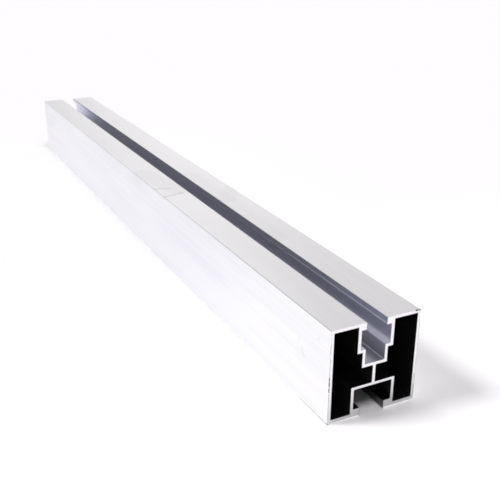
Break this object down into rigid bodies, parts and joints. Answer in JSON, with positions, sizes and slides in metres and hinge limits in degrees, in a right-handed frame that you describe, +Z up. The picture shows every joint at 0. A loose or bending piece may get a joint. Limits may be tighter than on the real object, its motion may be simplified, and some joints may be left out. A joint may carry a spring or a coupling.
{
  "type": "aluminium mounting rail profile",
  "caption": "Cut length of square aluminium extrusion with a stepped bolt slot along the top, a wider slot along the bottom, a centre web and a closed chamber along each side.",
  "frame": {"origin": "middle of the bottom face, where the rail rests", "axes": "+X along the rail, towards the end that faces the viewer in the picture; +Z up, out of the stepped slot; +Y to the side"},
  "size_m": [0.45, 0.04, 0.04],
  "materials": {
    "aluminium": "satin mill-finish or clear-anodised extrusion, with fine lines along the rail and plain sawn ends"
  },
  "bodies": {
    "root": {"rail_profile": "aluminium"}
  },
  "joints": []
}
